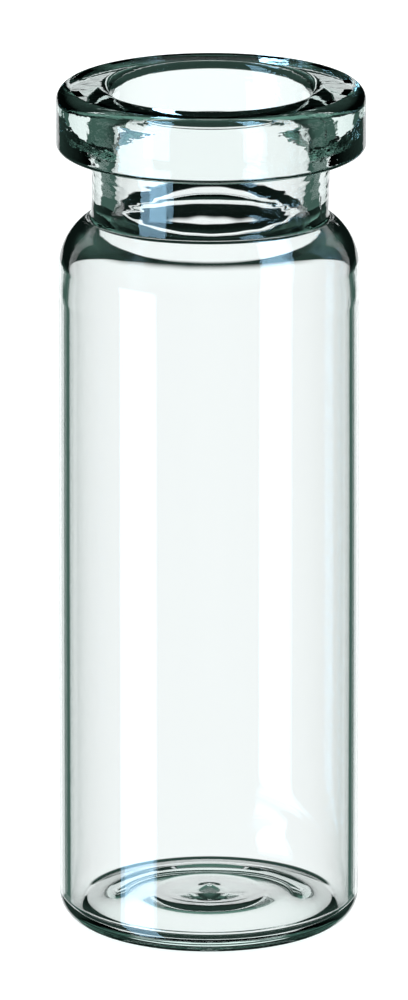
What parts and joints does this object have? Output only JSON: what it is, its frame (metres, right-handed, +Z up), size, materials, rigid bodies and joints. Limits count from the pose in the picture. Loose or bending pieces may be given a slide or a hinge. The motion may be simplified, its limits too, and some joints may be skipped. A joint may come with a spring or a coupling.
{
  "type": "crimp neck glass sample vial",
  "caption": "Open clear glass sample vial: tubular body, rounded heel, pushed-up base, short neck and crimp flange around a plain bore.",
  "frame": {"origin": "centre of the standing ring, on the surface that the vial stands on", "axes": "+Z up along the vial's axis, through the bore; +X to the right and +Y away from the viewer, free about the axis"},
  "size_m": [0.02, 0.02, 0.0558],
  "materials": {
    "clear_glass": "clear fire-polished glass, smooth inside and out, with a faint blue-green cast at thick edges"
  },
  "bodies": {
    "root": {"glass_vial": "clear_glass"}
  },
  "joints": []
}
